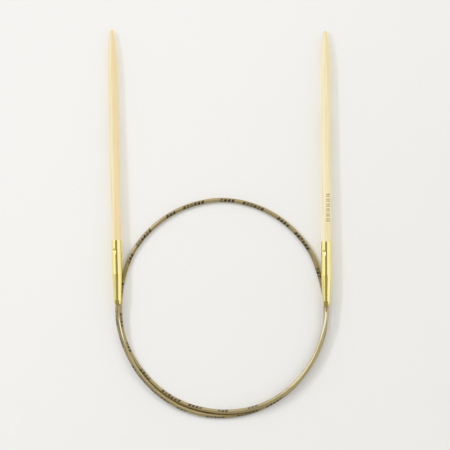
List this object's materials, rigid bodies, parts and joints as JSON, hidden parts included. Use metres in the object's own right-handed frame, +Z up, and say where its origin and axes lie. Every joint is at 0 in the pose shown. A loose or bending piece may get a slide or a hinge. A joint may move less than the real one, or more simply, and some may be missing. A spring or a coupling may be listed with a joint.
{
  "type": "circular knitting needle",
  "caption": "Circular knitting needle: pointed bamboo needles in brass ferrules that swivel on the ends of a thin nylon cord, which lies in a loop.",
  "frame": {"origin": "on the surface that the needle lies on, under the middle of the two needles' own box (ferrules and pins with them, the cord left out)", "axes": "+Y towards the two points, +X to the right seen from above, +Z up from the surface"},
  "size_m": [0.0732, 0.1272, 0.0044],
  "materials": {
    "bamboo_left": "satin lacquered bamboo with a fine lengthwise grain",
    "bamboo_right": "satin lacquered bamboo, a little paler, with a printed size mark",
    "brass": "bright polished brass",
    "pin_steel": "bright turned steel",
    "cord_nylon": "translucent gold-brown nylon tube with small dark printed marks"
  },
  "bodies": {
    "loop": {"cord_middle": "cord_nylon"},
    "lead_left": {"cord_lead_left": "cord_nylon"},
    "join_left": {"cord_end_left": "cord_nylon", "swivel_pin_left": "pin_steel"},
    "tip_left": {"ferrule_left": "brass", "needle_left": "bamboo_left"},
    "lead_right": {"cord_lead_right": "cord_nylon"},
    "join_right": {"cord_end_right": "cord_nylon", "swivel_pin_right": "pin_steel"},
    "tip_right": {"ferrule_right": "brass", "needle_right": "bamboo_right"}
  },
  "joints": [
    {"name": "lift_left", "type": "hinge", "parent": "loop", "child": "lead_left", "pos_m": [-0.01019, -0.07674, 0.00105], "axis": [0.3375, 0.9413, 0], "range_deg": [0, 60], "stiffness_Nm_per_rad": 0.005, "deforming": ["cord_lead_left"]},
    {"name": "swing_left", "type": "hinge", "parent": "lead_left", "child": "join_left", "pos_m": [-0.031, -0.05549, 0.00225], "axis": [0, 0, -1], "range_deg": [-45, 0], "stiffness_Nm_per_rad": 0.007, "deforming": ["cord_end_left"]},
    {"name": "turn_left", "type": "hinge", "parent": "join_left", "child": "tip_left", "pos_m": [-0.03321, -0.042, 0.00294], "axis": [-0.0227, 0.9996, -0.0172], "continuous": true},
    {"name": "lift_right", "type": "hinge", "parent": "loop", "child": "lead_right", "pos_m": [0.01167, -0.07574, 0.00205], "axis": [0.2936, -0.9559, 0], "range_deg": [0, 60], "stiffness_Nm_per_rad": 0.005, "deforming": ["cord_lead_right"]},
    {"name": "swing_right", "type": "hinge", "parent": "lead_right", "child": "join_right", "pos_m": [0.0327, -0.05545, 0.00235], "axis": [0, 0, 1], "range_deg": [-45, 0], "stiffness_Nm_per_rad": 0.007, "deforming": ["cord_end_right"]},
    {"name": "turn_right", "type": "hinge", "parent": "join_right", "child": "tip_right", "pos_m": [0.03499, -0.04242, 0.00294], "axis": [-0.0035, 0.9998, -0.0172], "continuous": true}
  ]
}
